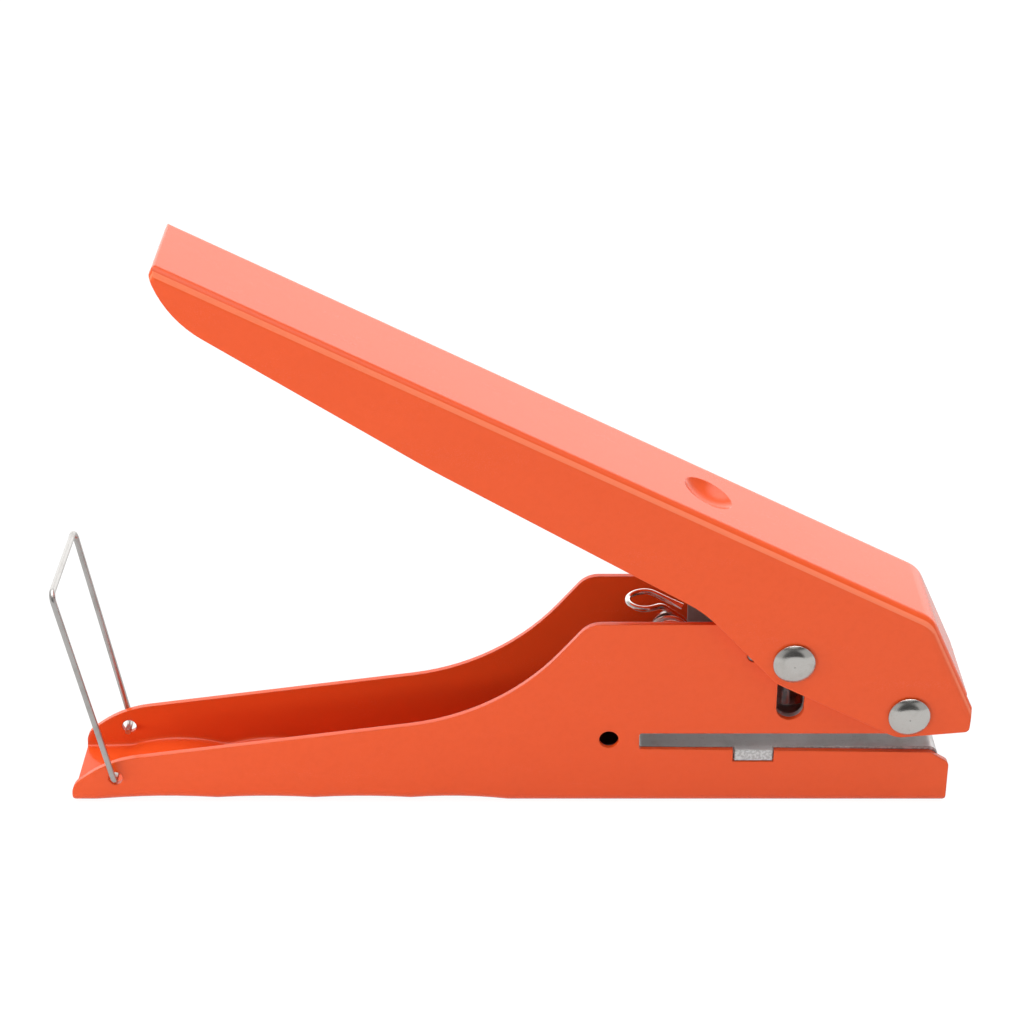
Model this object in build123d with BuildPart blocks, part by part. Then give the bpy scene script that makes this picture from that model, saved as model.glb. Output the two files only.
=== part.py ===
from build123d import *
import os
from math import atan2, cos, degrees, hypot, pi, radians, sin, tan

# A single hole punch of folded sheet steel, as it stands open on a table.
# X runs from the nose of the handle to the punching head, Y runs across and Z runs up.
# The origin lies on the table, in the middle of the base. Lengths are in millimetres.

# Sheet steel and fits
sheet = 1.0
bend_radius = 1.7
overrun = 4.0
press_gap = 0.05
running_gap = 0.05
side_gap = 0.55
slot_gap = 0.5

# Base channel: an upturned channel with a low handle and tall cheeks at the head
base_length = 145.0
base_width = 17.2
head_height = 34.0
nose_height = 3.3
nose_length = 6.3
handle_front_height = 8.1
handle_back_height = 17.0
hump_setback = 59.6
hump_slope_deg = 49.8
hump_foot_share = 2.293
nose_radius = 1.3
nose_top_radius = 3.0
handle_radius = 18.0
hump_top_radius = 4.4
cheek_flat_setback = 28.5
cheek_knee_setback = 6.0
cheek_knee_drop = 7.25
cheek_end_setback = 1.5
cheek_end_rise = 7.7
cheek_radius = 2.0
jaw_slope_length = 3.2
jaw_slope_drop = 2.55
jaw_radius = 1.3

# Finger grips pressed up into the handle's floor, which draw the bends up a little
grip_count = 4
grip_pitch = 16.1
grip_setback = 7.9
grip_ramp = 4.0
grip_blend = 5.0
grip_lift = 0.15
grip_rise = 1.3
grip_edge_lift = 0.3
grip_edge_rise = 0.28
grip_flank = 0.6

# Throat that takes the paper
throat_depth = 51.1
throat_bottom = 10.5
throat_fall = 0.6
throat_height = 3.05
throat_radius = 0.4

# Chip window in the floor under the die
chip_window_length = 33.0
chip_window_width = 10.0
chip_window_setback = 15.5
chip_window_radius = 2.0

# Plain tooling hole behind the throat
tooling_hole_radius = 1.6
tooling_hole_setback = 5.0
tooling_hole_rise = 1.85

# Punch and its mechanism
punch_radius = 3.0
punch_setback = 26.7
punch_tip_lift = 0.4
punch_crown = 3.0
punch_hollow_radius = 6.0
punch_hollow_depth = 0.7
punch_edge = 0.5
crosshead_drop = 6.15
pivot_setback = 7.5
pivot_rise = 4.35
closing_deg = 24.5
pivot_slide = 2.8

# Rivets
shank_radius = 1.75
rivet_head_radius = 3.4
rivet_head_rim = 0.35
rivet_head_height = 1.35
rivet_dish_radius = 0.9
rivet_dish_depth = 0.06
rivet_dome_share = 0.78
rivet_head_gap = 0.1
crosshead_play = 0.45
crosshead_slot_drop = 0.55

# Lever: a downturned channel with a folded end wall
lever_open_deg = 26.55
lever_reach = 140.1
tip_length = 5.1
tip_edge = 1.5
tip_rise = 6.6
tip_radius = 17.5
tip_wall_share = 1.1
tip_corner_radius = 1.2
lever_crown_lift = 0.7
heel_length = 10.3
fold_radius = 5.0
fold_share = 0.495
end_wall_share = 0.88
dimple_reach = 45.5
dimple_radius = 4.3
dimple_depth = 1.6

# Die plate
die_thickness = 2.0
die_sink = 0.15
die_side_gap = 0.1
die_end_setback = 1.8
die_end_radius = 1.5
die_stop_height = 3.05
die_stop_radius = 0.6
die_tab_length = 6.2
die_tab_setback = 32.25
die_tab_gap = 0.25
die_tab_room = 0.3

# Guide bracket, with the bush that carries the punch
bracket_lift = 0.1
bracket_web = 1.2
bracket_left_setback = 42.7
bracket_tongue_length = 19.0
bracket_top_gap = 2.25
bush_spigot_radius = 4.2
bush_flange_radius = 5.2
bush_flange_height = 2.2

# Pin that holds the bracket in the base
bracket_pin_radius = 1.15
bracket_pin_setback = 32.9
bracket_pin_drop = 5.75
bracket_pin_recess = 0.3

# Return spring, wound on a stud that stands on the bracket's ear
wire = 1.0
coil_radius = 3.0
coil_turns = 3
coil_pitch = 1.5
coil_start = 5.3
coil_setback = 46.3
coil_drop = 5.55
arm_rise_deg = 35.0
arm_length = 3.0
eye_half_width = 2.95
eye_centre_reach = 3.9
straight_share = 0.99999
eye_height = 5.3
eye_tail = 3.4
stud_radius = 1.9
stud_head_radius = 2.9
stud_head_thickness = 0.7
stud_end_gap = 0.2
ear_radius = 3.2

# Wire bail that locks the lever down
bail_wire = 1.0
bail_hole_radius = 1.2
bail_setback = 7.4
bail_hole_height = 4.8
bail_reach = 36.65
bail_lean_deg = 11.2
bail_foot_gap = 0.65
bail_head_gap = 0.45
bail_end_length = 4.0
bail_foot_radius = 1.2
bail_head_radius = 1.4

# Places worked out from the sizes above
base_left = -base_length / 2
base_right = base_length / 2
base_half = base_width / 2
inner_half = base_half - sheet
grips_start = base_left + grip_setback
grips_end = grips_start + grip_count * grip_pitch
throat_left = base_right - throat_depth
throat_top = throat_bottom + throat_height
punch_x = base_right - punch_setback
pivot_x = base_right - pivot_setback
crosshead_height = head_height - crosshead_drop
pivot_height = throat_top + pivot_rise
cheek_knee_height = head_height - cheek_knee_drop
cheek_end_height = throat_top + cheek_end_rise
bracket_pin_height = head_height - bracket_pin_drop
coil_height = head_height - coil_drop
lever_crown = head_height + lever_crown_lift - pivot_height
lever_inner_half = base_half + side_gap
lever_half = lever_inner_half + sheet
slot_half = shank_radius + slot_gap
crosshead_arm = hypot(pivot_x - punch_x, crosshead_height - pivot_height)
crosshead_open_deg = degrees(atan2(crosshead_height - pivot_height, pivot_x - punch_x))
crosshead_closed_deg = crosshead_open_deg - closing_deg
punch_travel = crosshead_arm * (sin(radians(crosshead_open_deg)) - sin(radians(crosshead_closed_deg)))

os.makedirs("parts", exist_ok=True)


def finish(builder, name):
    """Label a finished piece and write it under its own name."""
    builder.part.label = name
    export_step(builder.part, f"parts/{name}.step")


def rounded_face(corners):
    """Face inside a closed outline of (x, y, corner radius)."""
    with BuildLine() as outline:
        FilletPolyline(*[(x, y) for x, y, _ in corners], radius=[r for _, _, r in corners], close=True)
    make_face(outline.line)


def floor_line(height, lift, rise):
    """Line of the floor at a height, its finger grips with their lift and their rise above it."""
    low = height + lift
    Line((base_left - overrun, height), (grips_start - grip_ramp, height))
    Line((grips_start - grip_ramp, height), (grips_start, low))
    for grip in range(grip_count):
        left = grips_start + grip * grip_pitch
        right_height = low if grip < grip_count - 1 else height
        ThreePointArc((left, low), (left + grip_pitch / 2, low + rise), (left + grip_pitch, right_height))
    Line((grips_end, height), (base_right + overrun, height))


def channel_side(height, lift, rise, end):
    """Side view of the space from a floor line to a level end, with the grips' corners blended."""
    with BuildLine() as outline:
        floor_line(height, lift, rise)
        Polyline(
            (base_right + overrun, height),
            (base_right + overrun, end),
            (base_left - overrun, end),
            (base_left - overrun, height),
        )
    space = make_face(outline.line)
    corners = [v for v in space.vertices() if base_left < v.X < grips_end - grip_ramp]
    fillet(corners, radius=grip_blend)


# Side view of the base channel, corner by corner with its radius
hump_x = base_right - hump_setback
hump_rise = head_height - handle_back_height
hump_foot_x = hump_x - hump_rise / tan(radians(hump_slope_deg))
base_corners = [
    (base_left, 0, nose_radius),
    (base_left, nose_height, nose_top_radius),
    (base_left + nose_length, handle_front_height, handle_radius),
    (hump_foot_x, handle_back_height, hump_foot_share * hump_rise),
    (hump_x, head_height, hump_top_radius),
    (base_right - cheek_flat_setback, head_height, cheek_radius),
    (base_right - cheek_knee_setback, cheek_knee_height, cheek_radius),
    (base_right - cheek_end_setback, cheek_end_height, cheek_radius),
    (base_right - cheek_end_setback, throat_top, throat_radius),
    (throat_left, throat_top, throat_radius),
    (throat_left, throat_bottom, throat_radius),
    (base_right - jaw_slope_length, throat_bottom - throat_fall, jaw_radius),
    (base_right, throat_bottom - jaw_slope_drop, jaw_radius),
    (base_right, 0, jaw_radius),
]


die_tab_x = base_right - die_tab_setback
notch_length = die_tab_length + die_tab_room + die_tab_gap
notch_x = die_tab_x + (die_tab_gap - die_tab_room) / 2
notch_bottom = throat_bottom - die_sink - die_thickness - die_tab_gap
groove_half = inner_half - grip_flank
bracket_pin_x = base_right - bracket_pin_setback
bail_x = base_left + bail_setback
crosshead_slot_length = punch_travel + crosshead_slot_drop


def long_edges(builder, half, height):
    """Edges along both sides of a channel's block, up to a height."""
    sides = [e for e in builder.edges() if abs(abs(e.center().Y) - half) < press_gap]
    return [e for e in sides if e.center().Z < height]


def mechanism_slots():
    """Upright slot of the punch's rivet and level slot of the pivot rivet, in side view."""
    with Locations((punch_x, crosshead_height - crosshead_slot_length / 2)):
        SlotCenterToCenter(crosshead_slot_length, 2 * slot_half, rotation=90)
    with Locations((pivot_x + pivot_slide / 2, pivot_height)):
        SlotCenterToCenter(pivot_slide, 2 * (shank_radius + running_gap))


with BuildPart() as base_channel:
    with BuildSketch(Plane.XZ):
        channel_side(0, grip_edge_lift, grip_edge_rise, head_height + overrun)
    extrude(amount=base_half, both=True)
    fillet(long_edges(base_channel, base_half, bend_radius), radius=bend_radius)
    with BuildSketch(Plane.XZ):
        rounded_face(base_corners)
    extrude(amount=base_half + overrun, both=True, mode=Mode.INTERSECT)
    with BuildPart(mode=Mode.SUBTRACT) as base_room:
        with BuildSketch(Plane.XZ):
            channel_side(sheet, grip_lift, grip_rise, head_height + overrun)
        extrude(amount=inner_half, both=True)
        fillet(long_edges(base_room, inner_half, sheet + 2 * grip_rise), radius=bend_radius - sheet)
    with BuildSketch(Plane.XZ):
        channel_side(0, grip_lift, grip_rise, -overrun)
    extrude(amount=groove_half, both=True, mode=Mode.SUBTRACT)
    with BuildSketch(Plane.XZ):
        mechanism_slots()
        with Locations((bracket_pin_x, bracket_pin_height)):
            Circle(bracket_pin_radius + press_gap)
        with Locations((throat_left - tooling_hole_setback, throat_bottom + tooling_hole_rise)):
            Circle(tooling_hole_radius)
        with Locations((bail_x, bail_hole_height)):
            Circle(bail_hole_radius)
        with Locations((notch_x, (notch_bottom + throat_bottom + throat_height / 2) / 2)):
            Rectangle(notch_length, throat_bottom + throat_height / 2 - notch_bottom)
    extrude(amount=base_half + overrun, both=True, mode=Mode.SUBTRACT)
    with BuildSketch(Plane.XY.offset(-overrun)):
        with Locations((base_right - chip_window_setback - chip_window_length / 2, 0)):
            RectangleRounded(chip_window_length, chip_window_width, chip_window_radius)
    extrude(amount=overrun + sheet + grip_rise, mode=Mode.SUBTRACT)
finish(base_channel, "base_channel")

# Die plate: paper rests on it, its left end turns up as the paper's stop
die_top = throat_bottom - die_sink
die_bottom = die_top - die_thickness
die_half = inner_half - die_side_gap
die_right = base_right - die_end_setback
with BuildPart() as die_plate:
    with BuildSketch(Plane.XZ):
        rounded_face([
            (throat_left - sheet, die_bottom, die_thickness / 2),
            (die_right, die_bottom, die_end_radius / 4),
            (die_right, die_top, die_end_radius),
            (throat_left, die_top, die_stop_radius),
            (throat_left, die_top + die_stop_height, sheet / 4),
            (throat_left - sheet, die_top + die_stop_height, sheet / 4),
        ])
    extrude(amount=die_half, both=True)
    with BuildSketch(Plane.XZ):
        with Locations((die_tab_x, (die_bottom + die_top) / 2)):
            Rectangle(die_tab_length, die_thickness)
    extrude(amount=base_half, both=True)
    with BuildSketch(Plane.XY.offset(die_bottom - overrun)):
        with Locations((punch_x, 0)):
            Circle(punch_radius + running_gap)
    extrude(amount=die_thickness + 2 * overrun, mode=Mode.SUBTRACT)
finish(die_plate, "die_plate")

# Guide bracket: an upturned channel between the cheeks, with an ear and a tongue for the return spring
bracket_left = base_right - bracket_left_setback
bracket_bottom = throat_top + bracket_lift
bracket_half = inner_half - press_gap
bracket_inner_half = bracket_half - sheet
bracket_right = base_right - cheek_end_setback
bracket_top = head_height - bracket_top_gap
bracket_knee_x = base_right - cheek_knee_setback - bracket_top_gap
coil_x = base_right - coil_setback
with BuildPart() as guide_bracket:
    with BuildSketch(Plane.XZ):
        rounded_face([
            (bracket_left, bracket_bottom, 0),
            (bracket_left, bracket_top, cheek_radius / 2),
            (base_right - cheek_flat_setback, bracket_top, cheek_radius),
            (bracket_knee_x, cheek_knee_height - bracket_top_gap, cheek_radius),
            (bracket_right, cheek_end_height - bracket_top_gap, cheek_radius),
            (bracket_right, bracket_bottom, 0),
        ])
    extrude(amount=bracket_half, both=True)
    with BuildSketch(Plane.XZ):
        with Locations((0, bracket_bottom + bracket_web + head_height / 2)):
            Rectangle(base_length, head_height)
    extrude(amount=bracket_inner_half, both=True, mode=Mode.SUBTRACT)
    with BuildSketch(Plane.XZ.offset(bracket_half)):
        with Locations((coil_x, coil_height)):
            Circle(ear_radius)
        with Locations(((coil_x + bracket_left + sheet) / 2, coil_height)):
            Rectangle(bracket_left + sheet - coil_x, 2 * ear_radius)
    extrude(amount=-sheet)
    with BuildSketch(Plane.XY.offset(bracket_bottom)):
        with Locations((bracket_left + (sheet - bracket_tongue_length) / 2, 0)):
            Rectangle(bracket_tongue_length + sheet, 2 * bracket_half)
    extrude(amount=bracket_web)
    with BuildSketch(Plane.XZ):
        mechanism_slots()
        with Locations((bracket_pin_x, bracket_pin_height)):
            Circle(bracket_pin_radius + press_gap)
        with Locations((coil_x, coil_height)):
            Circle(stud_radius + press_gap)
    extrude(amount=base_half, both=True, mode=Mode.SUBTRACT)
    with BuildSketch(Plane.XY.offset(bracket_bottom - overrun)):
        with Locations((punch_x, 0)):
            Circle(bush_spigot_radius + press_gap)
    extrude(amount=overrun + bracket_web + sheet, mode=Mode.SUBTRACT)
finish(guide_bracket, "guide_bracket")

# Flanged bush in the bracket's web, in which the punch slides
with BuildPart() as guide_bush:
    with BuildSketch(Plane.XY.offset(bracket_bottom)):
        with Locations((punch_x, 0)):
            Circle(bush_spigot_radius)
    extrude(amount=bracket_web + bush_flange_height)
    with BuildSketch(Plane.XY.offset(bracket_bottom + bracket_web)):
        with Locations((punch_x, 0)):
            Circle(bush_flange_radius)
    extrude(amount=bush_flange_height)
    with BuildSketch(Plane.XY.offset(bracket_bottom - overrun)):
        with Locations((punch_x, 0)):
            Circle(punch_radius + running_gap)
    extrude(amount=bracket_web + bush_flange_height + 2 * overrun, mode=Mode.SUBTRACT)
finish(guide_bush, "guide_bush")

# Pin through the cheeks and the bracket, a little below the cheeks' faces
with BuildPart() as bracket_pin:
    with BuildSketch(Plane.XZ):
        with Locations((bracket_pin_x, bracket_pin_height)):
            Circle(bracket_pin_radius)
    extrude(amount=base_half - bracket_pin_recess, both=True)
finish(bracket_pin, "bracket_pin")

# Punch: a round pin with a hollow-ground tip and a cross hole
punch_tip = throat_top + punch_tip_lift
punch_top = crosshead_height + punch_crown
with BuildPart() as punch:
    with BuildSketch(Plane.XY.offset(punch_tip)):
        with Locations((punch_x, 0)):
            Circle(punch_radius)
    extrude(amount=punch_top - punch_tip)
    chamfer(punch.faces().sort_by(Axis.Z)[-1].edges(), length=punch_edge)
    with BuildSketch(Plane.XZ):
        with Locations((punch_x, punch_tip + punch_hollow_depth - punch_hollow_radius)):
            Circle(punch_hollow_radius)
        with Locations((punch_x, crosshead_height)):
            Circle(shank_radius + press_gap)
    extrude(amount=punch_radius + overrun, both=True, mode=Mode.SUBTRACT)
finish(punch, "punch")

# Two alike rivets across the lever: one carries the punch, one is the lever's pivot
rivet_places = {
    "punch_rivet": (punch_x, crosshead_height),
    "pivot_rivet": (pivot_x, pivot_height),
}
head_seat = lever_half + rivet_head_gap
for rivet_name, (rivet_x, rivet_height) in rivet_places.items():
    rivet_plane = Plane(origin=(rivet_x, 0, rivet_height), x_dir=(1, 0, 0), z_dir=(0, 0, 1))
    head_top = head_seat + rivet_head_height
    dome_middle = (rivet_head_radius + rivet_dish_radius) / 2
    dome_height = rivet_head_rim + (rivet_head_height - rivet_head_rim) * rivet_dome_share
    with BuildPart() as rivet:
        with BuildSketch(rivet_plane):
            with BuildLine():
                Polyline(
                    (0, 0),
                    (shank_radius, 0),
                    (shank_radius, head_seat),
                    (rivet_head_radius, head_seat),
                    (rivet_head_radius, head_seat + rivet_head_rim),
                )
                ThreePointArc(
                    (rivet_head_radius, head_seat + rivet_head_rim),
                    (dome_middle, head_seat + dome_height),
                    (rivet_dish_radius, head_top),
                )
                Polyline((rivet_dish_radius, head_top), (0, head_top - rivet_dish_depth), (0, 0))
            make_face()
        revolve(axis=Axis((rivet_x, 0, rivet_height), (0, 1, 0)))
        mirror(about=Plane.XZ)
    finish(rivet, rivet_name)

# Lever, drawn in its own frame: x from the pivot to the tip, y up to the crown
open_cos = cos(radians(lever_open_deg))
open_sin = sin(radians(lever_open_deg))
lever_plane = Plane(origin=(pivot_x, 0, pivot_height), x_dir=(-open_cos, 0, open_sin), z_dir=(0, 1, 0))
crown_plane = Plane(origin=lever_plane.origin, x_dir=lever_plane.x_dir, z_dir=lever_plane.y_dir)
crosshead_deg = crosshead_open_deg - lever_open_deg
crosshead_place = (crosshead_arm * cos(radians(crosshead_deg)), crosshead_arm * sin(radians(crosshead_deg)))

# Skirt corners: shares of the reach or of the crosshead's arm, of the crown, and of the crown for the radius
skirt_shares = ((0.635, 0.315, 8.8), (0.278, 0.119, 1.2))
belly_shares = ((1.031, -0.259, 0.3), (-0.014, -0.2705, 0.24))
heel_shares = ((-1.0, 0.101, 0.05), (-0.835, 0.3455, 0.09))
fold_x = fold_share * heel_length
heel_x = heel_shares[1][0] * heel_length
heel_y = heel_shares[1][1] * lever_crown
lever_corners = [(lever_reach, lever_crown, sheet / 2)]
lever_corners += [(lever_reach, lever_crown - tip_edge, sheet)]
tip_curve = min(tip_radius, tip_wall_share * lever_crown)
lever_corners += [(lever_reach - tip_length, lever_crown - tip_rise, tip_curve)]
lever_corners += [(a * lever_reach, h * lever_crown, r * lever_crown) for a, h, r in skirt_shares]
lever_corners += [(a * crosshead_arm, h * lever_crown, r * lever_crown) for a, h, r in belly_shares]
lever_corners += [(a * heel_length, h * lever_crown, r * lever_crown) for a, h, r in heel_shares]
lever_corners += [(fold_x, lever_crown, fold_radius)]

# End wall: from the fold down towards the heel, with its inward direction
wall_length = hypot(fold_x - heel_x, lever_crown - heel_y)
wall_x = (heel_x - fold_x) / wall_length
wall_y = (heel_y - lever_crown) / wall_length
fold_inside = sheet * (1 + wall_x) / -wall_y
inner_fold = (fold_x - wall_y * sheet + wall_x * fold_inside, lever_crown - sheet)
flap = end_wall_share * wall_length
flap_inner = (fold_x - wall_y * sheet + wall_x * flap, lever_crown + wall_x * sheet + wall_y * flap)
flap_outer = (fold_x + wall_y * overrun + wall_x * flap, lever_crown - wall_x * overrun + wall_y * flap)
dimple_sphere = (dimple_radius**2 + dimple_depth**2) / (2 * dimple_depth)
dimple_axis = Axis(lever_plane.from_local_coords((dimple_reach, 0, 0)), lever_plane.y_dir)


def crown_edges(builder, half, height):
    """Edges along both sides of the lever's block, above a height in the lever's own frame."""
    places = [(e, lever_plane.to_local_coords(e.center())) for e in builder.edges()]
    sides = [(e, place) for e, place in places if abs(abs(e.center().Y) - half) < press_gap]
    return [e for e, place in sides if place.Y > height and place.X < lever_reach]


def dimple_half(radius, low, high):
    """Half of a round section about the dimple's axis, between two heights."""
    with Locations((dimple_reach, lever_crown - dimple_depth + dimple_sphere)):
        Circle(radius)
    with Locations((dimple_reach + radius / 2, (low + high) / 2)):
        Rectangle(radius, high - low, mode=Mode.INTERSECT)


with BuildPart() as lever:
    with BuildSketch(lever_plane):
        rounded_face([
            (lever_reach + overrun, lever_crown, 0),
            (fold_x, lever_crown, fold_radius),
            (fold_x + 2 * (heel_x - fold_x), lever_crown + 2 * (heel_y - lever_crown), 0),
            (lever_reach + overrun, lever_crown + 2 * (heel_y - lever_crown), 0),
        ])
    extrude(amount=lever_half, both=True)
    fillet(crown_edges(lever, lever_half, heel_y - lever_crown / 2), radius=bend_radius)
    with BuildSketch(lever_plane):
        rounded_face(lever_corners)
    extrude(amount=lever_half + overrun, both=True, mode=Mode.INTERSECT)
    with BuildSketch(crown_plane):
        rounded_face([
            (lever_reach, lever_half, tip_corner_radius),
            (lever_reach, -lever_half, tip_corner_radius),
            (-heel_length - overrun, -lever_half, 0),
            (-heel_length - overrun, lever_half, 0),
        ])
    extrude(amount=2 * lever_crown, both=True, mode=Mode.INTERSECT)
    with BuildPart(mode=Mode.SUBTRACT) as lever_room:
        with BuildSketch(lever_plane):
            rounded_face([
                (lever_reach + overrun, lever_crown - sheet, 0),
                (*inner_fold, fold_radius - sheet),
                (*flap_inner, 0),
                (flap_inner[0], -lever_crown, 0),
                (lever_reach + overrun, -lever_crown, 0),
            ])
        extrude(amount=lever_inner_half, both=True)
        fillet(crown_edges(lever_room, lever_inner_half, flap_inner[1]), radius=bend_radius - sheet)
        with BuildSketch(lever_plane):
            rounded_face([
                (*flap_inner, 0),
                (*flap_outer, 0),
                (flap_outer[0], -lever_crown, 0),
                (flap_inner[0], -lever_crown, 0),
            ])
        extrude(amount=lever_inner_half, both=True)
    with BuildSketch(lever_plane):
        dimple_half(dimple_sphere + sheet, lever_crown - dimple_depth - 2 * sheet, lever_crown - sheet / 2)
    revolve(axis=dimple_axis)
    with BuildSketch(lever_plane):
        dimple_half(dimple_sphere, lever_crown - 2 * dimple_depth, lever_crown + overrun)
    revolve(axis=dimple_axis, mode=Mode.SUBTRACT)
    with BuildSketch(lever_plane):
        Circle(shank_radius + running_gap)
        with Locations(crosshead_place):
            Circle(shank_radius + crosshead_play)
    extrude(amount=lever_half + overrun, both=True, mode=Mode.SUBTRACT)
finish(lever, "lever")

# Stud for the return spring, with its head against the coil's far end
stud_tip = coil_start - coil_turns * coil_pitch - coil_pitch * (90 - arm_rise_deg) / 360
stud_end = stud_tip - wire / 2 - stud_end_gap
with BuildPart() as spring_stud:
    with BuildSketch(Plane.XZ.offset(stud_end)):
        with Locations((coil_x, coil_height)):
            Circle(stud_radius)
    extrude(amount=bracket_half - stud_end)
    with BuildSketch(Plane.XZ.offset(stud_end)):
        with Locations((coil_x, coil_height)):
            Circle(stud_head_radius)
    extrude(amount=-stud_head_thickness)
finish(spring_stud, "spring_stud")


def bend_arcs(start, start_way, end, end_way):
    """Two arcs that leave one point along its direction and reach the next along its own."""
    start_way = start_way.normalized()
    end_way = end_way.normalized()
    chord = end - start
    both = start_way + end_way
    square = 2 * (start_way.dot(end_way) - 1)
    reach = -2 * chord.dot(both)
    size = chord.dot(chord)
    step = (-reach - (reach**2 - 4 * square * size) ** 0.5) / (2 * square)
    middle = (start + start_way * step + end - end_way * step) / 2
    first = TangentArc(start, middle, tangent=start_way)
    TangentArc(middle, end, tangent=first % 1)


def join_stops(start, start_way, end, end_way):
    """Line between two stops that already point along it, otherwise two arcs."""
    straight = (end - start).normalized()
    if straight.dot(start_way.normalized()) > straight_share:
        Line(start, end)
    else:
        bend_arcs(start, start_way, end, end_way)


def coil_point(turn_deg):
    """Point of the coil's centre line after a turn from its leg."""
    turn = radians(turn_deg)
    across = -coil_start + coil_pitch * turn_deg / 360
    return Vector(coil_x + coil_radius * cos(turn), across, coil_height + coil_radius * sin(turn))


def coil_way(turn_deg):
    """Direction of the coil's centre line after a turn from its leg."""
    turn = radians(turn_deg)
    return Vector(-coil_radius * sin(turn), coil_pitch / (2 * pi), coil_radius * cos(turn))


# Eye corners in shares of its half width, each with its direction
eye_shares = (
    ((0.36, -0.79, -0.05), (-0.8, -0.6, 0.15)),
    ((-0.1, -1.0, 0.0), (-1.0, 0.0, 0.0)),
    ((-1.0, 0.0, 0.0), (0.0, 1.0, 0.0)),
    ((0.0, 1.0, 0.0), (1.0, 0.0, 0.0)),
    ((1.05, 0.68, -0.24), (1.0, -0.32, -0.34)),
)

# Return spring: leg down to the bracket's web, coil on the stud, and a flat eye under the lever's dimple
leg_bottom = bracket_bottom + bracket_web + press_gap
quarters = 4 * coil_turns
coil_exit_deg = 360 * coil_turns + 90 - arm_rise_deg
arm_way = Vector(-cos(radians(arm_rise_deg)), 0, sin(radians(arm_rise_deg)))
eye_centre = Vector(coil_x - eye_centre_reach, 0, coil_height + eye_height)
spring_turns = [90 * quarter for quarter in range(quarters + 1)] + [coil_exit_deg]
up = Vector(0, 0, 1)
spring_stops = [(coil_point(0), up)]
spring_stops += [(coil_point(turn), coil_way(turn)) for turn in spring_turns[1:-1]]
spring_stops += [(coil_point(coil_exit_deg), arm_way)]
arm_end = coil_point(coil_exit_deg) + arm_way * arm_length
spring_stops += [(arm_end, arm_way)]
spring_stops += [
    (eye_centre + Vector(*place) * eye_half_width, Vector(*way)) for place, way in eye_shares
]
eye_end = spring_stops[-1][0] + spring_stops[-1][1].normalized() * eye_tail
with BuildPart() as return_spring:
    with BuildLine() as spring_line:
        Line(Vector(coil_point(0).X, coil_point(0).Y, leg_bottom), coil_point(0))
        for (start, start_way), (end, end_way) in zip(spring_stops, spring_stops[1:]):
            join_stops(start, start_way, end, end_way)
        Line(spring_stops[-1][0], eye_end)
    spring_wire = spring_line.wires()[0]
    with BuildSketch(Plane(origin=spring_wire @ 0, z_dir=spring_wire % 0)):
        Circle(wire / 2)
    sweep(path=spring_wire)
finish(return_spring, "return_spring")

# Least gap of the spring to itself, on points of its centre line at least a few wires apart
sample_count = 900
skipped_wires = 3
samples = [spring_wire @ (i / sample_count) for i in range(sample_count + 1)]
skipped = int(sample_count * skipped_wires * wire / spring_wire.length)
least_gap = min(
    (samples[i] - samples[j]).length - wire
    for i in range(len(samples))
    for j in range(i + skipped, len(samples))
)
print("least gap of the spring to itself", round(least_gap, 3))

# Wire bail: hooked into the handle's side holes, it swings over the closed lever
lean = radians(bail_lean_deg)
bail_top_x = bail_x - bail_reach * sin(lean)
bail_top_z = bail_hole_height + bail_reach * cos(lean)
bail_foot_y = base_half + bail_foot_gap + bail_wire / 2
bail_head_y = lever_half + bail_head_gap + bail_wire / 2
bail_end_y = bail_foot_y - bail_end_length
bail_points = [
    (bail_x, -bail_end_y, bail_hole_height),
    (bail_x, -bail_foot_y, bail_hole_height),
    (bail_top_x, -bail_head_y, bail_top_z),
    (bail_top_x, bail_head_y, bail_top_z),
    (bail_x, bail_foot_y, bail_hole_height),
    (bail_x, bail_end_y, bail_hole_height),
]
bail_radii = [bail_foot_radius, bail_head_radius, bail_head_radius, bail_foot_radius]
with BuildPart() as lock_bail:
    with BuildLine() as bail_line:
        FilletPolyline(*bail_points, radius=bail_radii)
    bail_wire_line = bail_line.wires()[0]
    with BuildSketch(Plane(origin=bail_wire_line @ 0, z_dir=bail_wire_line % 0)):
        Circle(bail_wire / 2)
    sweep(path=bail_wire_line)
finish(lock_bail, "lock_bail")
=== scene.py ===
"""Single hole punch of folded, enamelled sheet steel, dressed for a plain studio picture."""

import logging
import math
from dataclasses import dataclass, field
from enum import Enum
from typing import Any, Sequence

import bmesh
import bpy
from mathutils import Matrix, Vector


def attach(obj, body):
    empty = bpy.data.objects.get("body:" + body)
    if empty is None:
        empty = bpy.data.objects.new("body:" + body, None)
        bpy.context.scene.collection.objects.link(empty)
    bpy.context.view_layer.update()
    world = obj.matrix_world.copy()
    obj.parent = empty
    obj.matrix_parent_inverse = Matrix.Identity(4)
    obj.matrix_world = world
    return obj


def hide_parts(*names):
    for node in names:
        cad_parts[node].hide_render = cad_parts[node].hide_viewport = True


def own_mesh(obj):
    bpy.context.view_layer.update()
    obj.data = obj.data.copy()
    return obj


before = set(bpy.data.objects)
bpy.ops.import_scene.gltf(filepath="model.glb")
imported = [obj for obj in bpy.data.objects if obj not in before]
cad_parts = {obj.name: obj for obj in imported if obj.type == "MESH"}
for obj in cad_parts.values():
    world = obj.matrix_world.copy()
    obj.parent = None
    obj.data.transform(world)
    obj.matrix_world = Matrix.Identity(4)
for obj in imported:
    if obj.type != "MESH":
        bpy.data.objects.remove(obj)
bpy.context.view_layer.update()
LOG = logging.getLogger("hole_punch")
MM = 0.001
BEVEL_SAMPLES = 6
EDGE_SPAN = (0.02, 0.3)
WHITE = (1.0, 1.0, 1.0, 1.0)
Colour = tuple[float, float, float, float]
Point = tuple[float, float, float]
Span = tuple[float, float]


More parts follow.
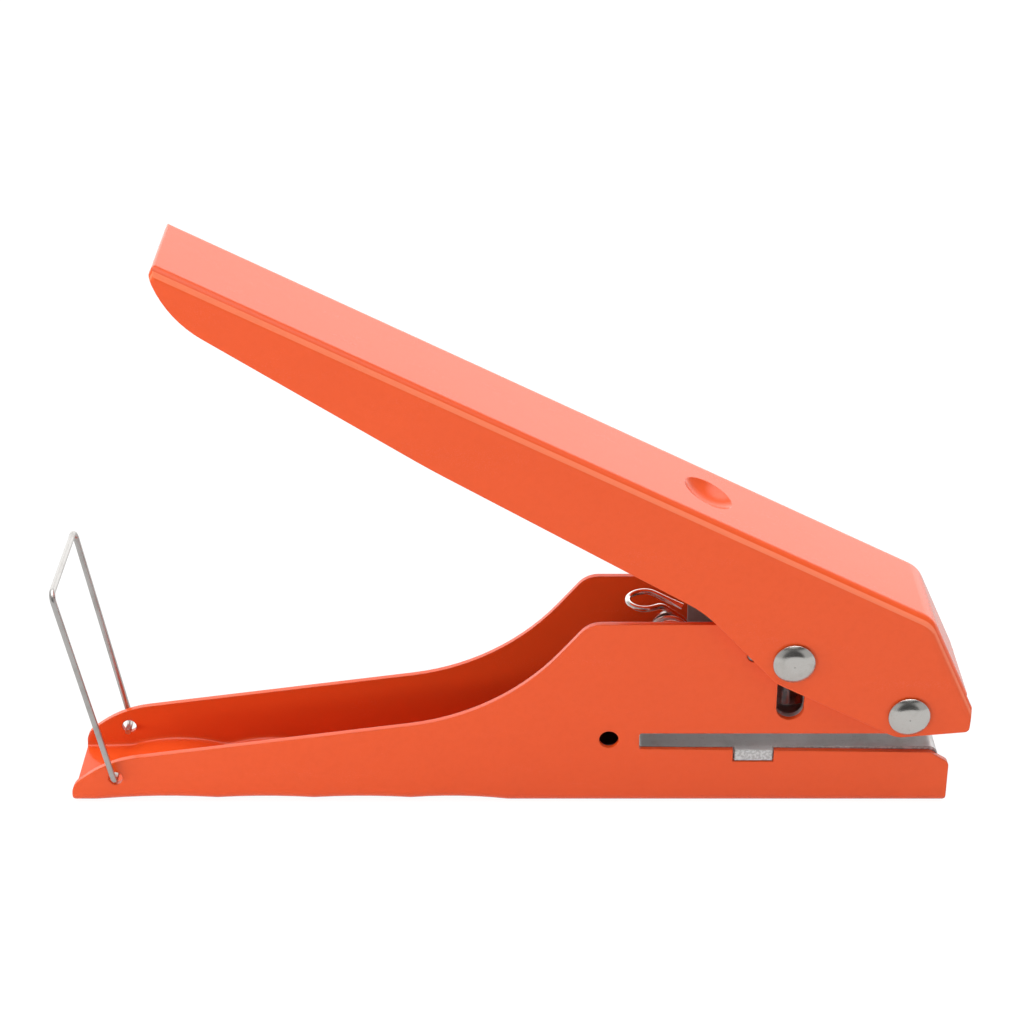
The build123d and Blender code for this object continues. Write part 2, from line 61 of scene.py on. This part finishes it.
class Axis(Enum):
    """Axis of a piece, as a unit vector."""

    X = (1.0, 0.0, 0.0)
    Y = (0.0, 1.0, 0.0)
    Z = (0.0, 0.0, 1.0)


class Slot(Enum):
    """Material slots that the finishes carry."""

    PAINT = "paint"
    ZINC = "zinc"
    NICKEL = "nickel"
    WIRE = "wire_steel"
    TOOL = "tool_steel"


@dataclass(frozen=True)
class Grain:
    """Smooth noise: grains to a unit, octaves, share of the finer ones, and its mask's span."""

    scale: float
    octaves: float = 2.0
    rough: float = 0.5
    span: Span = (0.0, 1.0)


class Value:
    """A number or colour on a shader socket that can stand in a Python sum."""

    def __init__(self, graph: "Graph", socket: bpy.types.NodeSocket | None) -> None:
        """Keeps the socket and the graph that it belongs to.

        Args:
            graph: The material's node graph.
            socket: The output socket that gives the value, or None for a node that ends the graph.
        """
        self.graph = graph
        self.socket = socket

    def math(self, operation: str, *others: "Value | float", first: bool = True) -> "Value":
        """Adds one Math node.

        Args:
            operation: The node's operation.
            others: The other operands.
            first: Whether this value is the first operand.

        Returns:
            The node's result.
        """
        parts = [self, *others] if first else [*others, self]
        return self.graph.add("ShaderNodeMath", {"operation": operation}, dict(enumerate(parts)))

    def __add__(self, other: "Value | float") -> "Value":
        """Sum of two values."""
        return self.math("ADD", other)

    def __sub__(self, other: "Value | float") -> "Value":
        """Difference of two values."""
        return self.math("SUBTRACT", other)

    def __rsub__(self, other: float) -> "Value":
        """Number less this value."""
        return self.math("SUBTRACT", other, first=False)

    def __mul__(self, other: "Value | float") -> "Value":
        """Product of two values."""
        return self.math("MULTIPLY", other)

    def __abs__(self) -> "Value":
        """Size of this value without its sign."""
        return self.math("ABSOLUTE")

    __radd__ = __add__
    __rmul__ = __mul__

    def between(self, low: float, high: float) -> "Value":
        """Smooth step of this value from 0 at low to 1 at high."""
        return self.graph.add(
            "ShaderNodeMapRange",
            {"interpolation_type": "SMOOTHSTEP"},
            {"Value": self, "From Min": low, "From Max": high},
        )


class Graph:
    """Node tree of one material or of the world."""

    def __init__(self, tree: bpy.types.NodeTree) -> None:
        """Clears a node tree for a new shader.

        Args:
            tree: The node tree.
        """
        self.tree = tree
        tree.nodes.clear()

    def add(
        self,
        kind: str,
        settings: dict[str, Any] | None = None,
        inputs: dict[int | str, Any] | None = None,
        output: int | str = 0,
    ) -> Value:
        """Adds a node with its settings first and its sockets after them.

        Args:
            kind: The node's type.
            settings: Properties of the node.
            inputs: Values or links of its sockets.
            output: The socket that is given back.

        Returns:
            The chosen output.
        """
        node = self.tree.nodes.new(kind)
        for name, setting in (settings or {}).items():
            setattr(node, name, setting)
        for name, value in (inputs or {}).items():
            if isinstance(value, Value):
                self.tree.links.new(value.socket, node.inputs[name])
            else:
                node.inputs[name].default_value = value
        return Value(self, node.outputs[output] if node.outputs else None)

    def place(self) -> Value:
        """Point on the surface in the object's own metres."""
        return self.add("ShaderNodeTexCoord", output="Object")

    def facing(self) -> Value:
        """Way that the surface faces, in the object's own axes."""
        return self.add("ShaderNodeTexCoord", output="Normal")

    def part(self, vector: Value, axis: Axis) -> Value:
        """Part of a vector along an axis."""
        return self.add("ShaderNodeSeparateXYZ", {}, {0: vector}, output=axis.name)

    def scaled(self, vector: Value, factors: Sequence[float]) -> Value:
        """Vector times a factor for each axis.

        Args:
            vector: The vector.
            factors: Factor for each axis.

        Returns:
            The scaled vector.
        """
        inputs = {0: vector, 1: tuple(factors)}
        return self.add("ShaderNodeVectorMath", {"operation": "MULTIPLY"}, inputs)

    def noise(self, vector: Value, grain: Grain) -> Value:
        """Smooth noise from 0 to 1.

        Args:
            vector: Where it is read.
            grain: Its scale and octaves.

        Returns:
            The noise.
        """
        inputs = {"Vector": vector, "Scale": grain.scale, "Detail": grain.octaves, "Roughness": grain.rough}
        return self.add("ShaderNodeTexNoise", {}, inputs)

    def patches(self, vector: Value, grain: Grain) -> Value:
        """Mask of the patches where a noise is high.

        Args:
            vector: Where the noise is read.
            grain: Its scale, octaves and span.

        Returns:
            0 below the grain's span and 1 above it.
        """
        return self.noise(vector, grain).between(*grain.span)

    def mix(self, factor: Value | float, first: Value | Colour, second: Value | Colour) -> Value:
        """Colour between two colours.

        Args:
            factor: Share of the second colour.
            first: Colour at 0.
            second: Colour at 1.

        Returns:
            The mixed colour.
        """
        inputs = {0: factor, 6: first, 7: second}
        return self.add("ShaderNodeMix", {"data_type": "RGBA"}, inputs, output=2)

    def rounded(self, radius: float) -> Value:
        """Normal with every edge rounded.

        Args:
            radius: Radius of the rounding in metres.

        Returns:
            The rounded normal.
        """
        return self.add("ShaderNodeBevel", {"samples": BEVEL_SAMPLES}, {"Radius": radius})

    def edge(self, rounded: Value) -> Value:
        """Mask of the edges, from how far the rounded normal leaves the true one.

        Args:
            rounded: The rounded normal.

        Returns:
            0 on flats and up to 1 on edges.
        """
        true = self.add("ShaderNodeNewGeometry", output="True Normal")
        inputs = {0: rounded, 1: true}
        dot = self.add("ShaderNodeVectorMath", {"operation": "DOT_PRODUCT"}, inputs, output="Value")
        return (1.0 - dot).between(*EDGE_SPAN)

    def bump(self, height: Value, distance: float, strength: float, normal: Value) -> Value:
        """Normal of a surface raised by a height.

        Args:
            height: Height from 0 to 1.
            distance: What 1 stands for, in metres.
            strength: Share of the effect.
            normal: Normal that is bumped.

        Returns:
            The new normal.
        """
        inputs = {"Height": height, "Distance": distance, "Strength": strength, "Normal": normal}
        return self.add("ShaderNodeBump", {}, inputs)


@dataclass(frozen=True)
class Finish:
    """What every finish has: a name, a material slot and the rounding of its edges."""

    name: str
    slot: Slot
    edge_radius: float = 0.18 * MM

    def material(self) -> bpy.types.Material:
        """Builds the finish's material once.

        Returns:
            The material.
        """
        found = bpy.data.materials.get(self.name)
        if found:
            return found
        made = bpy.data.materials.new(self.name)
        made.use_nodes = True
        graph = Graph(made.node_tree)
        surface = self.surface(graph)
        graph.add("ShaderNodeOutputMaterial", {}, {"Surface": surface})
        return made

    def surface(self, graph: Graph) -> Value:
        """Adds the finish's shader.

        Args:
            graph: The material's nodes.

        Returns:
            The shader.
        """
        raise NotImplementedError(self.name)

    def dress(self, piece: bpy.types.Object) -> None:
        """Puts the finish on every face of a piece.

        Args:
            piece: The piece.
        """
        piece.data.materials.clear()
        piece.data.materials.append(self.material())
        for polygon in piece.data.polygons:
            polygon.material_index = 0


@dataclass(frozen=True)
class Enamel(Finish):
    """Stove enamel on sheet steel: even and glossy, with a painted highlight on the folds and painted shade
    inside.
    """

    edge_radius: float = 0.3 * MM
    colour: Colour = (0.89, 0.102, 0.018, 1.0)
    # lighter colour for random specks, and on the edges for thin enamel together with a painted highlight
    thin_enamel_and_sheen_colour: Colour = (0.92, 0.15, 0.04, 1.0)
    deep_colour: Colour = (0.84, 0.09, 0.014, 1.0)
    # painted highlight: pale colour of the folds, standing in for the front light's reflection
    fold_highlight_colour: Colour = (1.0, 0.23, 0.11, 1.0)
    # painted shade: darker colour for the walls inside the channel
    inner_shade_colour: Colour = (0.71, 0.075, 0.014, 1.0)
    # painted shade: near-black colour deep inside the head, where little light gets in
    head_shade_colour: Colour = (0.03, 0.012, 0.012, 1.0)
    cloud: Grain = Grain(35.0, 3.0, span=(0.35, 0.7))
    cloud_share: float = 0.35
    mottle: Grain = Grain(900.0, 3.0, 0.7, (0.4, 0.7))
    mottle_share: float = 0.4
    speck: Grain = Grain(5200.0, 1.0, span=(0.73, 0.78))
    speck_share: float = 0.25
    edge_share: float = 0.5
    peel_width: float = 1.1 * MM
    peel: Grain = Grain(1.0 / peel_width, 2.0, 0.4)
    grit: Grain = Grain(7.0 / peel_width, 3.0, 0.7)
    peel_share: float = 0.8
    relief: float = 0.02 * MM
    relief_strength: float = 0.35
    smear: Grain = Grain(1.0, 3.0)
    smear_scale: Point = (60.0, 240.0, 240.0)
    roughness: float = 0.26
    smear_roughness: float = 0.04
    grit_roughness: float = 0.08
    edge_roughness: float = 0.25
    refraction: float = 1.5
    specular: float = 0.26
    coat: float = 0.3
    coat_cloud: float = 0.14
    coat_edge_loss: float = 0.8
    coat_roughness: float = 0.05
    fold_side: Span = (0.7, 0.77)
    fold_wall: Span = (0.955, 0.985)
    fold_upward: Span = (0.14, 0.25)
    inner_side: Span = (0.5, 0.9)
    inner_walls: Span = (7.7 * MM, 7.9 * MM)
    # place of the painted shade inside the head, along the punch and in height
    shade_reach: Span = (9.0 * MM, 14.0 * MM)
    shade_return: Span = (26.0 * MM, 40.0 * MM)
    shade_height: Span = (12.0 * MM, 17.0 * MM)

    def surface(self, graph: Graph) -> Value:
        """Adds the enamel's shader.

        Args:
            graph: The material's nodes.

        Returns:
            The shader.
        """
        place = graph.place()
        rounded = graph.rounded(self.edge_radius)
        edge = graph.edge(rounded)
        cloud = graph.noise(place, self.cloud)
        grit = graph.noise(place, self.grit)
        smear = graph.noise(graph.scaled(place, self.smear_scale), self.smear)
        height = graph.noise(place, self.peel) * self.peel_share + grit * (1.0 - self.peel_share)
        dull = smear * self.smear_roughness + grit * self.grit_roughness + edge * self.edge_roughness
        even = self.roughness - (self.smear_roughness + self.grit_roughness) / 2
        return graph.add(
            "ShaderNodeBsdfPrincipled",
            {},
            {
                "Base Color": self.tone(graph, place, edge, cloud),
                "Roughness": dull + even,
                "Metallic": 0.0,
                "IOR": self.refraction,
                "Specular IOR Level": self.specular,
                "Coat Weight": (cloud * self.coat_cloud + self.coat) * (1.0 - edge * self.coat_edge_loss),
                "Coat Roughness": self.coat_roughness,
                "Coat IOR": self.refraction,
                "Normal": graph.bump(height, self.relief, self.relief_strength, rounded),
            },
        )

    def tone(self, graph: Graph, place: Value, edge: Value, cloud: Value) -> Value:
        """Colour of the enamel, with a painted highlight on the folds and painted shade inside.

        Args:
            graph: The material's nodes.
            place: Point on the surface.
            edge: Mask of the edges.
            cloud: Wide, soft noise.

        Returns:
            The colour.
        """
        facing = graph.facing()
        across = abs(graph.part(facing, Axis.Y))
        upward = graph.part(facing, Axis.Z)
        inside = 1.0 - abs(graph.part(place, Axis.Y)).between(*self.inner_walls)
        # painted shade on the inner walls that face sideways
        wall = inside * across.between(*self.inner_side)
        # painted highlight on the outer folds that face partly sideways and partly up
        fold = across.between(*self.fold_side) * (1.0 - across.between(*self.fold_wall))
        fold = fold * upward.between(*self.fold_upward) * (1.0 - inside)
        deep = cloud.between(*self.cloud.span) * self.cloud_share
        mottle = graph.patches(place, self.mottle) * self.mottle_share
        speck = graph.patches(place, self.speck) * self.speck_share
        colour = graph.mix(deep, self.colour, self.deep_colour)
        colour = graph.mix(mottle, colour, self.deep_colour)
        # edges lighter: thin enamel together with a painted highlight
        colour = graph.mix(edge * self.edge_share, colour, self.thin_enamel_and_sheen_colour)
        colour = graph.mix(speck, colour, self.thin_enamel_and_sheen_colour)
        colour = graph.mix(wall, colour, self.inner_shade_colour)
        colour = graph.mix(fold, colour, self.fold_highlight_colour)
        # painted shade deep inside the head
        return graph.mix(inside * self.head_shade_mask(graph, place), colour, self.head_shade_colour)

    def head_shade_mask(self, graph: Graph, place: Value) -> Value:
        """Mask of painted shade in the middle of the head, low down, inside the channel.

        Args:
            graph: The material's nodes.
            place: Point on the surface.

        Returns:
            1 under the guide bracket's tongue and 0 elsewhere.
        """
        along = graph.part(place, Axis.X)
        middle = along.between(*self.shade_reach) * (1.0 - along.between(*self.shade_return))
        return middle * (1.0 - graph.part(place, Axis.Z).between(*self.shade_height))


@dataclass(frozen=True)
class Plated(Finish):
    """Plated or bright steel with the marks of rolling, drawing or turning along one axis."""

    colour: Colour = (0.6, 0.61, 0.62, 1.0)
    stain_colour: Colour = (0.5, 0.48, 0.42, 1.0)
    edge_colour: Colour = (0.8, 0.8, 0.8, 1.0)
    sheared_colour: Colour = (0.22, 0.21, 0.2, 1.0)
    stain: Grain = Grain(260.0, 4.0, 0.6, (0.45, 0.75))
    stain_share: float = 0.5
    spot: Grain = Grain(1900.0, span=(0.62, 0.75))
    spot_share: float = 0.35
    edge_share: float = 0.5
    marks: Axis = Axis.X
    mark: Grain = Grain(1.0, 2.0, 0.6)
    mark_depth: float = 0.006 * MM
    mark_width: float = 0.08 * MM
    mark_stretch: float = 0.04
    mark_strength: float = 0.5
    pit: Grain = Grain(2200.0, span=(0.4, 0.6))
    pit_depth: float = 0.0
    pit_strength: float = 0.6
    sheared_share: float = 0.0
    sheared_side: Span = (0.8, 0.95)
    sheared_even: float = 0.1
    sheared_pits: float = 0.4
    metallic: float = 1.0
    roughness: float = 0.3
    mark_roughness: float = 0.18
    stain_roughness: float = 0.1
    mean_roughness: float = 0.12

    def surface(self, graph: Graph) -> Value:
        """Adds the plating's shader.

        Args:
            graph: The material's nodes.

        Returns:
            The shader.
        """
        place = graph.place()
        rounded = graph.rounded(self.edge_radius)
        edge = graph.edge(rounded)
        factors = [(self.mark_stretch if part else 1.0) / self.mark_width for part in self.marks.value]
        marks = graph.noise(graph.scaled(place, factors), self.mark)
        stain = graph.patches(place, self.stain)
        spots = graph.patches(place, self.spot)
        pits = graph.noise(place, self.pit)
        side = abs(graph.part(graph.facing(), Axis.Y)).between(*self.sheared_side)
        pitted = pits.between(*self.pit.span) * self.sheared_pits + self.sheared_even
        stained = stain * self.stain_share + spots * self.spot_share
        colour = graph.mix(stained, self.colour, self.stain_colour)
        colour = graph.mix(edge * self.edge_share, colour, self.edge_colour)
        colour = graph.mix(side * pitted * self.sheared_share, colour, self.sheared_colour)
        dull = marks * self.mark_roughness + stain * self.stain_roughness
        normal = graph.bump(marks, self.mark_depth, self.mark_strength, rounded)
        if self.pit_depth:
            normal = graph.bump(pits, self.pit_depth, self.pit_strength, normal)
        return graph.add(
            "ShaderNodeBsdfPrincipled",
            {},
            {
                "Base Color": colour,
                "Roughness": dull + (self.roughness - self.mean_roughness),
                "Metallic": self.metallic,
                "Normal": normal,
            },
        )


ENAMEL = Enamel("orange_enamel", Slot.PAINT)
ZINC = Plated(
    "dull_zinc", Slot.ZINC, colour=(0.55, 0.56, 0.56, 1.0), stain_colour=(0.4, 0.39, 0.36, 1.0),
    roughness=0.44, metallic=0.55, mark_depth=0.02 * MM,
)
DIE_ZINC = Plated(
    "rolled_zinc", Slot.ZINC, edge_radius=0.35 * MM, colour=(0.78, 0.79, 0.79, 1.0),
    stain_colour=(0.52, 0.52, 0.5, 1.0), edge_colour=(0.3, 0.29, 0.28, 1.0), roughness=0.36,
    metallic=0.5, mark_depth=0.03 * MM, mark_width=0.3 * MM, pit_depth=0.12 * MM, sheared_share=1.0,
)
NICKEL = Plated(
    "bright_nickel", Slot.NICKEL, colour=(0.66, 0.64, 0.61, 1.0), stain_colour=(0.5, 0.48, 0.44, 1.0),
    roughness=0.2, marks=Axis.X, mark_width=0.12 * MM,
)
DRAWN_WIRE = Plated(
    "drawn_wire", Slot.WIRE, edge_radius=0.05 * MM, colour=(0.6, 0.585, 0.565, 1.0),
    stain_colour=(0.42, 0.4, 0.37, 1.0), roughness=0.36, marks=Axis.Z, mark_width=0.06 * MM,
)
SPRING_WIRE = Plated(
    "spring_wire_steel", Slot.WIRE, edge_radius=0.05 * MM, colour=(0.86, 0.84, 0.81, 1.0),
    stain_colour=(0.6, 0.57, 0.52, 1.0), roughness=0.18, marks=Axis.Y, mark_width=0.1 * MM,
)
GROUND_STEEL = Plated(
    "ground_steel", Slot.TOOL, edge_radius=0.08 * MM, colour=(0.68, 0.68, 0.69, 1.0),
    stain_colour=(0.55, 0.54, 0.52, 1.0), roughness=0.22, marks=Axis.X, mark_width=0.05 * MM,
)


@dataclass
class Assembly:
    """Pieces that are carried over from the solids, each with its finish."""

    title: str
    finishes: dict[str, Finish]

    def build(self) -> None:
        """Dresses the pieces and reports each of them."""
        for node, finish in self.finishes.items():
            finish.dress(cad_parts[node])
            LOG.info("%s: %s in %s", self.title, node, finish.name)


@dataclass
class ReturnSpring:
    """Spring of round wire: a leg, a coil on its stud and a flat eye under the lever's dimple.

    Its sizes are in millimetres and its angles in degrees. Each stop of the eye is a place, in
    half widths of the eye from its centre, and the wire's direction there.
    """

    node: str = "return_spring"
    wire: float = 1.0
    wire_sides: int = 20
    cap_inset: float = 0.12
    cap_rise: float = 0.06
    coil_radius: float = 3.0
    coil_pitch: float = 1.5
    coil_centre: Point = (26.2, -5.3, 28.45)
    coil_turn: float = 1135.0
    coil_steps: int = 170
    leg_bottom: float = 14.9
    leg_gap: float = 0.3
    arm_rise: float = 35.0
    arm_length: float = 3.0
    eye_centre: Point = (22.3, 0.0, 33.75)
    eye_half_width: float = 2.95
    eye_stops: Sequence[tuple[Point, Point]] = (
        ((0.36, -0.79, -0.05), (-0.8, -0.6, 0.15)),
        ((-0.1, -1.0, 0.0), (-1.0, 0.0, 0.0)),
        ((-1.0, 0.0, 0.0), (0.0, 1.0, 0.0)),
        ((0.0, 1.0, 0.0), (1.0, 0.0, 0.0)),
        ((1.05, 0.68, -0.24), (1.0, -0.32, -0.34)),
    )
    bend_reach: float = 1.12
    bend_steps: int = 12
    tail: float = 3.4
    squeeze: float = 0.965

    def coil_point(self, turn: float) -> Vector:
        """Point of the coil after a turn from its leg.

        Args:
            turn: The turn in degrees.

        Returns:
            The point in millimetres.
        """
        angle = math.radians(turn)
        x, y, z = self.coil_centre
        x += self.coil_radius * math.cos(angle)
        y += self.coil_pitch * turn / 360.0
        z += self.coil_radius * math.sin(angle)
        return Vector((x, y, z))

    def bend(self, start: Vector, start_way: Vector, end: Vector, end_way: Vector) -> list[Vector]:
        """Points of a smooth bend between two points.

        Args:
            start: Where it starts.
            start_way: Its direction there.
            end: Where it ends.
            end_way: Its direction there.

        Returns:
            The points after the start.
        """
        reach = (end - start).length * self.bend_reach
        one, two = start_way.normalized() * reach, end_way.normalized() * reach
        points = []
        for step in range(1, self.bend_steps + 1):
            t = step / self.bend_steps
            points.append(
                start * (2 * t**3 - 3 * t**2 + 1) + one * (t**3 - 2 * t**2 + t)
                + end * (3 * t**2 - 2 * t**3) + two * (t**3 - t**2)
            )
        return points

    def path(self) -> list[Vector]:
        """Centre line of the wire in millimetres, from the leg's foot to the eye's end.

        Returns:
            The points of the line.
        """
        first = self.coil_point(0.0)
        points = [Vector((first.x, first.y, self.leg_bottom)), first - Vector((0.0, 0.0, self.leg_gap))]
        for step in range(self.coil_steps + 1):
            points.append(self.coil_point(self.coil_turn * step / self.coil_steps))
        rise = math.radians(self.arm_rise)
        way = Vector((-math.cos(rise), 0.0, math.sin(rise)))
        here = points[-1] + way * self.arm_length
        points.append(here)
        for place, direction in self.eye_stops:
            stop = Vector(self.eye_centre) + Vector(place) * self.eye_half_width
            points += self.bend(here, way, stop, Vector(direction))
            here, way = stop, Vector(direction)
        points.append(here + way.normalized() * self.tail)
        return points

    def tube(self, points: list[Vector]) -> bpy.types.Mesh:
        """Round tube along a line, closed at both ends.

        Args:
            points: The line in millimetres.

        Returns:
            The mesh in metres.
        """
        mesh = bpy.data.meshes.new("spring_wire")
        form = bmesh.new()
        rings = []
        side = Vector(Axis.Y.value)
        for index, point in enumerate(points):
            before = points[max(index - 1, 0)]
            after = points[min(index + 1, len(points) - 1)]
            way = (after - before).normalized()
            side = (side - way * side.dot(way)).normalized()
            other = way.cross(side)
            ring = []
            for step in range(self.wire_sides):
                angle = 2 * math.pi * step / self.wire_sides
                offset = side * math.cos(angle) + other * math.sin(angle)
                ring.append(form.verts.new((point + offset * self.wire / 2) * MM))
            rings.append(ring)
        for one, two in zip(rings, rings[1:]):
            for step in range(self.wire_sides):
                following = (step + 1) % self.wire_sides
                form.faces.new((one[step], one[following], two[following], two[step]))
        caps = [form.faces.new(rings[0][::-1]), form.faces.new(rings[-1])]
        inset, rise = self.cap_inset * MM, self.cap_rise * MM
        bmesh.ops.inset_region(form, faces=caps, thickness=inset, depth=rise)
        bmesh.ops.recalc_face_normals(form, faces=form.faces)
        form.to_mesh(mesh)
        form.free()
        mesh.polygons.foreach_set("use_smooth", [True] * len(mesh.polygons))
        return mesh

    def build(self) -> None:
        """Makes the spring in place of the solid one, with its eye under the lever's dimple."""
        points = self.path()
        piece = bpy.data.objects.new("spring_of_wire", self.tube(points))
        bpy.context.scene.collection.objects.link(piece)
        SPRING_WIRE.dress(piece)
        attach(piece, "base")
        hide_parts(self.node)
        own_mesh(piece)
        LOG.info("spring: %s made of %d points", piece.name, len(points))


@dataclass
class Lamp:
    """A soft box that looks at a point of the punch and isn't seen in its reflections."""

    name: str
    place: Point
    target: Point
    size: tuple[float, float]
    power: float

    def build(self) -> None:
        """Sets up the soft box."""
        data = bpy.data.lights.new(self.name, "AREA")
        data.shape = "RECTANGLE"
        data.size, data.size_y = self.size
        data.energy = self.power
        lamp = bpy.data.objects.new(self.name, data)
        bpy.context.scene.collection.objects.link(lamp)
        lamp.location = self.place
        way = Vector(self.target) - Vector(self.place)
        lamp.rotation_euler = way.to_track_quat("-Z", "Y").to_euler()
        lamp.visible_glossy = False
        LOG.info("studio: %s", self.name)


@dataclass
class Studio:
    """White table, soft light and the camera of the photograph.

    Places and sizes are in metres, save for the lens and its sensor. The room's spans are read on
    the way that a ray looks: how far towards the back, the front or the zenith it points, from 0
    to 1.
    """

    floor_size: float = 6.0
    floor_colour: Colour = (0.78, 0.78, 0.78, 1.0)
    floor_dark: Colour = (0.74, 0.74, 0.74, 1.0)
    floor_grain: Grain = Grain(900.0)
    floor_grain_share: float = 0.15
    floor_roughness: float = 0.9
    floor_glow: float = 0.86
    floor_light: Colour = (1.1, 1.1, 1.1, 1.0)
    floor_mirrored: Colour = (0.7, 0.7, 0.7, 1.0)
    sweep_mirrored: Colour = (1.5, 1.5, 1.5, 1.0)
    sweep_span: Span = (0.02, 0.35)
    sky: float = 0.38
    backdrop: float = 1.65
    backdrop_side: Span = (0.4, 0.9)
    backdrop_top: Span = (0.4, 0.8)
    front: float = 0.5
    front_side: Span = (0.05, 0.3)
    front_top: Span = (0.45, 0.65)
    opening_side: Span = (0.76, 0.88)
    ceiling: float = 0.08
    zenith: float = 2.9
    zenith_top: Span = (0.7, 0.97)
    lens: float = 84.375
    sensor: float = 36.0
    near: float = 0.01
    pitch: float = 63.04
    camera_place: Point = (0.0005, -0.3426, 0.22415)
    lamps: Sequence[Lamp] = field(
        default_factory=lambda: (
            Lamp("front_box", (-0.42, -0.3, 0.05), (0.0, 0.0, 0.03), (0.5, 0.08), 1.32),
        )
    )

    def floor(self) -> None:
        """Lays a wide plain floor that shows white to the camera and keeps a soft shadow."""
        mesh = bpy.data.meshes.new("floor")
        form = bmesh.new()
        bmesh.ops.create_grid(form, x_segments=1, y_segments=1, size=self.floor_size / 2)
        form.to_mesh(mesh)
        form.free()
        mesh.materials.append(self.floor_material())
        floor = bpy.data.objects.new("floor", mesh)
        bpy.context.scene.collection.objects.link(floor)
        LOG.info("studio: floor")

    def floor_material(self) -> bpy.types.Material:
        """Matt table that glows white for the camera and for reflections.

        Returns:
            The material.
        """
        made = bpy.data.materials.new("white_table")
        made.use_nodes = True
        graph = Graph(made.node_tree)
        place = graph.place()
        fine = graph.noise(place, self.floor_grain) * self.floor_grain_share
        tone = graph.mix(fine, self.floor_colour, self.floor_dark)
        inputs = {"Base Color": tone, "Roughness": self.floor_roughness}
        matt = graph.add("ShaderNodeBsdfPrincipled", {}, inputs)
        seen = graph.add("ShaderNodeLightPath", output="Is Camera Ray")
        mirrored = graph.add("ShaderNodeLightPath", output="Is Glossy Ray")
        behind = graph.part(place, Axis.Y).between(*self.sweep_span)
        light = graph.mix(behind, self.floor_mirrored, self.sweep_mirrored)
        light = graph.mix(seen, light, self.floor_light)
        glow = graph.add("ShaderNodeEmission", {}, {"Color": light, "Strength": 1.0})
        share = seen.math("MAXIMUM", mirrored) * self.floor_glow
        both = graph.add("ShaderNodeMixShader", {}, {0: share, 1: matt, 2: glow})
        graph.add("ShaderNodeOutputMaterial", {}, {"Surface": both})
        return made

    def world(self) -> None:
        """Fills the room with soft light: a bright backdrop behind the punch and a dim ceiling."""
        world = bpy.data.worlds.new("room")
        world.use_nodes = True
        bpy.context.scene.world = world
        graph = Graph(world.node_tree)
        way = graph.add("ShaderNodeTexCoord", output="Generated")
        depth = graph.part(way, Axis.Y)
        height = graph.part(way, Axis.Z)
        ahead = 0.0 - depth
        backdrop = depth.between(*self.backdrop_side) * (1.0 - height.between(*self.backdrop_top))
        before = ahead.between(*self.front_side)
        high = height.between(*self.front_top)
        zenith = height.between(*self.zenith_top)
        level = ahead.between(*self.opening_side) * (self.ceiling - self.front) + self.front
        tone = backdrop * (self.backdrop - self.sky) + before * (1.0 - high) * (level - self.sky)
        tone = tone - before * high * (self.sky - self.ceiling) + zenith * self.zenith + self.sky
        grey = graph.add("ShaderNodeCombineXYZ", {}, {0: tone, 1: tone, 2: tone})
        soft = graph.add("ShaderNodeBackground", {}, {"Color": grey, "Strength": 1.0})
        white = graph.add("ShaderNodeBackground", {}, {"Color": WHITE, "Strength": 1.0})
        seen = graph.add("ShaderNodeLightPath", output="Is Camera Ray")
        both = graph.add("ShaderNodeMixShader", {}, {0: seen, 1: soft, 2: white})
        graph.add("ShaderNodeOutputWorld", {}, {"Surface": both})
        LOG.info("studio: room")

    def camera(self) -> None:
        """Sets the camera at the photograph's angle."""
        data = bpy.data.cameras.new("camera")
        data.lens = self.lens
        data.sensor_width = self.sensor
        data.clip_start = self.near
        camera = bpy.data.objects.new("camera", data)
        bpy.context.scene.collection.objects.link(camera)
        camera.location = self.camera_place
        camera.rotation_euler = (math.radians(self.pitch), 0.0, 0.0)
        bpy.context.scene.camera = camera
        LOG.info("studio: camera")

    def build(self) -> None:
        """Sets up the studio."""
        self.camera()
        self.floor()
        self.world()
        for lamp in self.lamps:
            lamp.build()
        bpy.context.scene.view_settings.view_transform = "Standard"


def main() -> None:
    """Builds the studio and dresses every sub-assembly of the punch in order."""
    logging.basicConfig(level=logging.INFO, format="%(name)s %(message)s")
    Studio().build()
    assemblies = (
        Assembly("base", {"base_channel": ENAMEL, "die_plate": DIE_ZINC, "bracket_pin": ZINC}),
        Assembly("guide", {"guide_bracket": ZINC, "guide_bush": GROUND_STEEL, "spring_stud": NICKEL}),
        Assembly("lever", {"lever": ENAMEL, "pivot_rivet": NICKEL}),
        Assembly("punch", {"punch": GROUND_STEEL, "punch_rivet": NICKEL}),
        Assembly("bail", {"lock_bail": DRAWN_WIRE}),
    )
    for assembly in assemblies:
        assembly.build()
    ReturnSpring().build()


if __name__ == "__main__":
    main()
